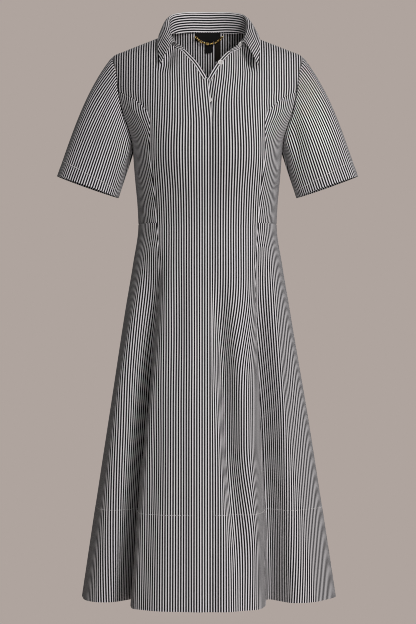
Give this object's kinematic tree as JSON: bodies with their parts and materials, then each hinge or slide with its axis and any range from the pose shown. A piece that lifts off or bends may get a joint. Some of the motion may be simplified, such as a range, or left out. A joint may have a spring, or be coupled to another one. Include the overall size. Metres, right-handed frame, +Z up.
{
  "type": "shirt dress",
  "caption": "Midi shirt dress in worn form with short sleeves, shirt collar, concealed button front, princess seams and a flared skirt with a deep hem.",
  "frame": {"origin": "middle of the neck, level with the foot of the collar on the shoulders", "axes": "+X to the wearer's left, +Y to the wearer's back, +Z up"},
  "size_m": [0.6116, 0.4447, 1.1932],
  "materials": {
    "striped_cotton": "matte cotton poplin with narrow black and white stripes",
    "black_tape": "plain black woven tape",
    "pearl_button": "glossy white resin",
    "gold_chain": "polished"
  },
  "bodies": {
    "root": {"front_right": "striped_cotton", "front_left": "striped_cotton", "side_front_bodice_right": "striped_cotton", "side_front_bodice_left": "striped_cotton", "side_front_skirt_right": "striped_cotton", "side_front_skirt_left": "striped_cotton", "back_right": "striped_cotton", "back_left": "striped_cotton", "side_back_bodice_right": "striped_cotton", "side_back_bodice_left": "striped_cotton", "side_back_skirt_right": "striped_cotton", "side_back_skirt_left": "striped_cotton", "sleeve_right": "striped_cotton", "sleeve_left": "striped_cotton", "collar_stand": "striped_cotton", "collar_fall": "striped_cotton", "button_front": "pearl_button", "button_neck": "pearl_button", "button_collar": "pearl_button", "neck_label": "black_tape", "size_tab": "black_tape", "care_strip": "black_tape", "hanger_chain": "gold_chain"}
  },
  "joints": []
}
